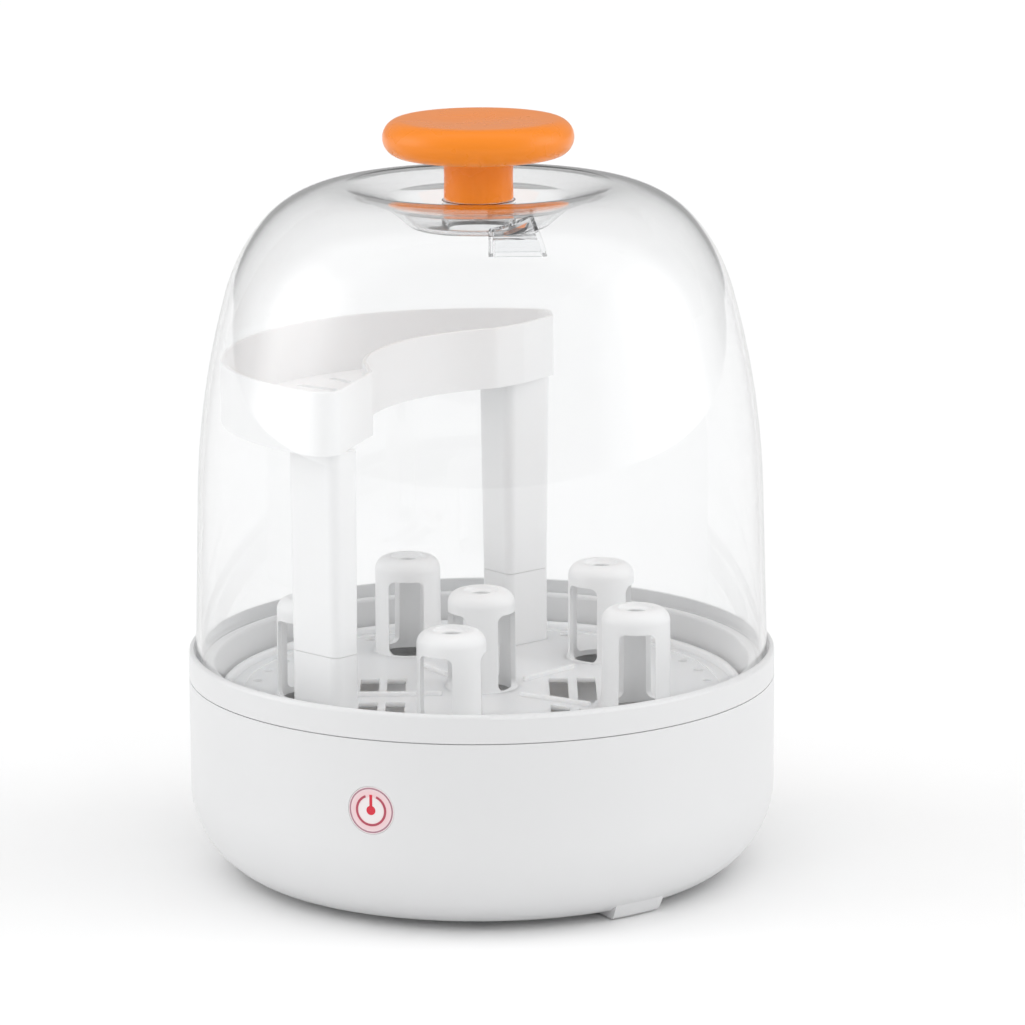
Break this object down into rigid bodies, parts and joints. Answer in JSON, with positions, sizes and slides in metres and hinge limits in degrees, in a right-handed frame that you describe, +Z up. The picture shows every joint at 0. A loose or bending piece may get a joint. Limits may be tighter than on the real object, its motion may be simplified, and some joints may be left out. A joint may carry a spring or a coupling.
{
  "type": "bottle sterilizer",
  "caption": "Round electric steam steriliser for baby bottles: bowl-shaped base with a heated well, rack of hollow posts, crescent tray on legs, and a clear domed lid with a mushroom knob.",
  "frame": {"origin": "on the vertical axis of the round body, on the table under the rubber pads of its feet", "axes": "+Z up, -Y to the front of the body, towards the viewer; the power button faces forwards and a little to -X; the mains inlet faces +Y"},
  "size_m": [0.28, 0.28, 0.3608],
  "materials": {
    "base_white": "smooth satin moulding",
    "button_white": "smooth satin moulding with a printed red mark",
    "rack_white": "fine matt moulding",
    "tray_white": "fine matt moulding",
    "clear_plastic": "clear polished plastic",
    "knob_orange": "smooth satin moulding",
    "foot_rubber": "matt rubber",
    "seal_silicone": "matt silicone",
    "plate_steel": "round-brushed stainless sheet",
    "clamp_steel": "plain zinc-plated sheet",
    "screw_steel": "plain zinc-plated",
    "spreader_aluminium": "as-cast",
    "element_steel": "dull drawn tube",
    "terminal_ceramic": "unglazed ceramic",
    "thermostat_body": "moulded phenolic",
    "fuse_tube": "ceramic tube",
    "board_green": "lacquered circuit board",
    "relay_black": "moulded case",
    "capacitor_sleeve": "shrunk sleeve",
    "connector_nylon": "natural nylon",
    "led_red": "tinted lens",
    "inlet_black": "fine matt moulding",
    "brass": "turned",
    "lead_insulation": "flexible insulation",
    "heater_lead_sleeve": "braided glass sleeve"
  },
  "bodies": {
    "base": {"base_housing": "base_white", "top_ring": "base_white", "foot_pads": "foot_rubber", "plate_seal": "seal_silicone", "heating_plate": "plate_steel", "plate_clamp_ring": "clamp_steel", "fuse_clip": "clamp_steel", "housing_screws": "screw_steel", "clamp_screws": "screw_steel", "board_screws": "screw_steel", "heat_spreader": "spreader_aluminium", "heater_element": "element_steel", "heater_terminals": "terminal_ceramic", "thermostat": "thermostat_body", "thermal_fuse": "fuse_tube", "control_board": "board_green", "board_relay": "relay_black", "push_switch": "relay_black", "board_capacitor": "capacitor_sleeve", "board_connector": "connector_nylon", "indicator_led": "led_red", "power_inlet": "inlet_black", "inlet_pins": "brass", "supply_lead": "lead_insulation", "heater_leads": "heater_lead_sleeve"},
    "rack": {"rack_plate": "rack_white", "bottle_post_0": "rack_white", "bottle_post_1": "rack_white", "bottle_post_2": "rack_white", "bottle_post_3": "rack_white", "bottle_post_4": "rack_white", "bottle_post_5": "rack_white", "left_leg_socket": "rack_white", "right_leg_socket": "rack_white"},
    "tray": {"accessory_tray": "tray_white", "left_tray_leg": "rack_white", "right_tray_leg": "rack_white"},
    "lid": {"dome_lid": "clear_plastic", "lid_knob": "knob_orange", "knob_insert": "brass", "knob_screw": "screw_steel", "knob_washer": "seal_silicone", "steam_hood": "clear_plastic"},
    "button": {"power_button": "button_white"}
  },
  "joints": [
    {"name": "lid_lift", "type": "slide", "parent": "base", "child": "lid", "axis": [0, 0, 1], "range_m": [0, 0.32]},
    {"name": "rack_lift", "type": "slide", "parent": "base", "child": "rack", "axis": [0, 0, 1], "range_m": [0, 0.06]},
    {"name": "tray_lift", "type": "slide", "parent": "rack", "child": "tray", "axis": [0, 0, 1], "range_m": [0, 0.06]},
    {"name": "button_press", "type": "slide", "parent": "base", "child": "button", "axis": [0.3649, 0.9311, 0], "range_m": [0, 0.0012], "stiffness_N_per_m": 400, "springref_m": -0.003}
  ],
  "couplings": [
    {"joint": "rack_lift", "follows": "lid_lift", "ratio": 0.18},
    {"joint": "tray_lift", "follows": "lid_lift", "ratio": 0.18}
  ]
}
